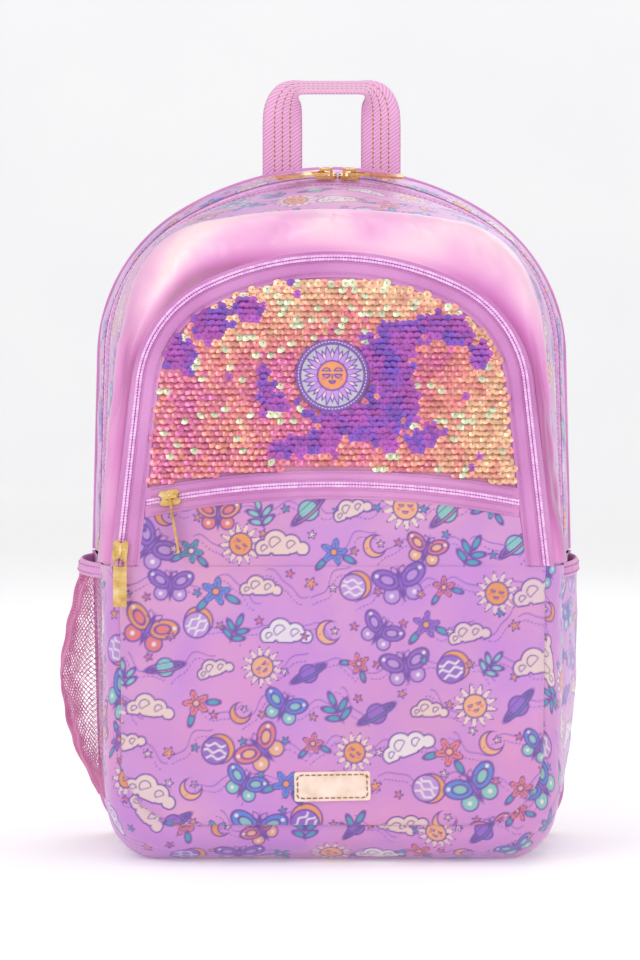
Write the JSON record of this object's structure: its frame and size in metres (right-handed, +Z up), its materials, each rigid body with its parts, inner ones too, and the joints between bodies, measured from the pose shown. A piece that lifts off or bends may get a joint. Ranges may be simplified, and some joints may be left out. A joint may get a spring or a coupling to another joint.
{
  "type": "school backpack",
  "caption": "Stuffed school backpack with arched main zip, fold-down front pocket flap with a curved zip, mesh and cloth side pockets, grab handle and padded shoulder straps.",
  "frame": {"origin": "on the flat underside of the base, under the middle of the main compartment", "axes": "+Z up, the front pocket faces -Y, +X is to the right seen from the front"},
  "size_m": [0.3225, 0.2288, 0.471],
  "materials": {
    "holo_satin": "satin with a pearly sheen",
    "print_fabric": "printed woven fabric",
    "zip_tape": "woven tape",
    "zip_coil": "moulded coil",
    "gold_metal": "plated zinc, satin polish",
    "sequins": "iridescent film",
    "sequin_base": "knit backing",
    "mesh_cloth": "open net",
    "lining_cloth": "plain lining",
    "back_cloth": "air mesh",
    "foam": "open-cell foam",
    "board": "sheet",
    "strap_pad": "padded, bound edges",
    "handle_webbing": "twill with three lengthwise stripes",
    "strap_webbing": "twill",
    "lock_plastic": "moulded",
    "label_leather": "cream, edge stitched",
    "badge_foil": "foil with printed sun",
    "badge_edge": "stitched rim"
  },
  "bodies": {
    "bag": {"rear_gusset": "print_fabric", "main_zip_tape_rear": "zip_tape", "main_zip_coil_rear": "zip_coil", "base_panel": "print_fabric", "base_board": "board", "side_gusset_left": "print_fabric", "side_gusset_right": "print_fabric", "back_foam": "foam", "back_cover": "back_cloth", "front_divider_lower": "lining_cloth", "pocket_gusset_lower": "print_fabric", "pocket_panel_lower": "print_fabric", "zip_pocket_bag_lower": "lining_cloth", "label_plate": "label_leather", "mesh_pocket": "mesh_cloth", "mesh_pocket_hem": "zip_tape", "side_pocket_right": "print_fabric", "side_pocket_right_hem": "zip_tape", "handle_anchors": "handle_webbing", "strap_yoke": "back_cloth", "strap_anchor_left": "strap_webbing", "strap_anchor_right": "strap_webbing", "lower_webbing_left": "strap_webbing", "lower_webbing_right": "strap_webbing"},
    "front": {"front_gusset": "print_fabric", "main_zip_tape_front": "zip_tape", "main_zip_coil_front": "zip_coil", "front_panel_upper": "holo_satin", "pocket_zip_wall": "zip_tape", "flap_zip_coil_outer": "zip_coil"},
    "flap": {"sequin_backing": "sequin_base", "sequin_layer": "sequins", "flap_print_strip": "print_fabric", "flap_zip_tape": "zip_tape", "flap_lining": "lining_cloth", "zip_pocket_bag_upper": "lining_cloth", "pocket_zip_tape_upper": "zip_tape", "pocket_zip_tape_lower": "zip_tape", "pocket_zip_coil_upper": "zip_coil", "pocket_zip_coil_lower": "zip_coil", "flap_zip_coil_inner": "zip_coil", "badge_disc": "badge_foil", "badge_rim": "badge_edge"},
    "main_slider_left": {"main_slider_left": "gold_metal"},
    "main_slider_right": {"main_slider_right": "gold_metal"},
    "main_pull_left": {"main_pull_left": "gold_metal"},
    "main_pull_right": {"main_pull_right": "gold_metal"},
    "flap_slider": {"flap_slider": "gold_metal"},
    "flap_pull": {"flap_pull": "gold_metal"},
    "pocket_slider": {"pocket_slider": "gold_metal"},
    "pocket_pull": {"pocket_pull": "gold_metal"},
    "grab_handle": {"grab_handle": "handle_webbing"},
    "strap_left": {"shoulder_strap_left": "strap_pad", "lock_tab_left": "strap_webbing"},
    "strap_right": {"shoulder_strap_right": "strap_pad", "lock_tab_right": "strap_webbing"},
    "lock_left": {"ladder_lock_left": "lock_plastic", "webbing_tail_left": "strap_webbing"},
    "lock_right": {"ladder_lock_right": "lock_plastic", "webbing_tail_right": "strap_webbing"}
  },
  "joints": [
    {"name": "front_tilt", "type": "hinge", "parent": "bag", "child": "front", "pos_m": [0, -0.1035, 0.14], "axis": [1, 0, 0], "range_deg": [0, 26]},
    {"name": "flap_open", "type": "hinge", "parent": "front", "child": "flap", "pos_m": [0, -0.1035, 0.178], "axis": [1, 0, 0], "range_deg": [0, 105]},
    {"name": "main_slide_left", "type": "hinge", "parent": "front", "child": "main_slider_left", "pos_m": [0, 0.012, 0.229], "axis": [0, 1, 0], "range_deg": [-28, 0]},
    {"name": "main_slide_right", "type": "hinge", "parent": "front", "child": "main_slider_right", "pos_m": [0, 0.012, 0.229], "axis": [0, 1, 0], "range_deg": [0, 26]},
    {"name": "main_pull_left_swing", "type": "hinge", "parent": "main_slider_left", "child": "main_pull_left", "pos_m": [-0.00359, 0.01063, 0.41369], "axis": [-0.379, 0.8981, 0.2232], "range_deg": [0, 150]},
    {"name": "main_pull_right_swing", "type": "hinge", "parent": "main_slider_right", "child": "main_pull_right", "pos_m": [0.01077, 0.01063, 0.41342], "axis": [-0.0841, -0.9663, -0.2435], "range_deg": [0, 150]},
    {"name": "flap_slide", "type": "slide", "parent": "flap", "child": "flap_slider", "axis": [0.1045, 0.13, 0.986], "range_m": [0, 0.085]},
    {"name": "flap_pull_hang", "type": "hinge", "parent": "flap_slider", "child": "flap_pull", "pos_m": [-0.12505, -0.10728, 0.18764], "axis": [1, 0, 0], "range_deg": [-105, 0]},
    {"name": "pocket_slide", "type": "hinge", "parent": "flap", "child": "pocket_slider", "pos_m": [0, -0.17077, -0.33594], "axis": [0, 0.9914, -0.1307], "range_deg": [0, 19]},
    {"name": "pocket_pull_swing", "type": "hinge", "parent": "pocket_slider", "child": "pocket_pull", "pos_m": [-0.09603, -0.10528, 0.21887], "axis": [-0.9855, -0.0222, -0.168], "range_deg": [0, 150]},
    {"name": "handle_swing", "type": "hinge", "parent": "bag", "child": "grab_handle", "pos_m": [0, 0.0681, 0.419], "axis": [1, 0, 0], "range_deg": [-75, 75]},
    {"name": "strap_swing_left", "type": "hinge", "parent": "bag", "child": "strap_left", "pos_m": [-0.062, 0.073, 0.384], "axis": [1, 0, 0], "range_deg": [0, 18], "deforming": ["lower_webbing_left"]},
    {"name": "strap_swing_right", "type": "hinge", "parent": "bag", "child": "strap_right", "pos_m": [0.062, 0.073, 0.384], "axis": [1, 0, 0], "range_deg": [0, 18], "deforming": ["lower_webbing_right"]},
    {"name": "lock_tilt_left", "type": "hinge", "parent": "strap_left", "child": "lock_left", "pos_m": [-0.082, 0.0758, 0.12], "axis": [1, 0, 0], "range_deg": [0, 30]},
    {"name": "lock_tilt_right", "type": "hinge", "parent": "strap_right", "child": "lock_right", "pos_m": [0.082, 0.0758, 0.12], "axis": [1, 0, 0], "range_deg": [0, 30]}
  ],
  "couplings": [
    {"joint": "flap_pull_hang", "follows": "flap_open", "ratio": -1}
  ]
}
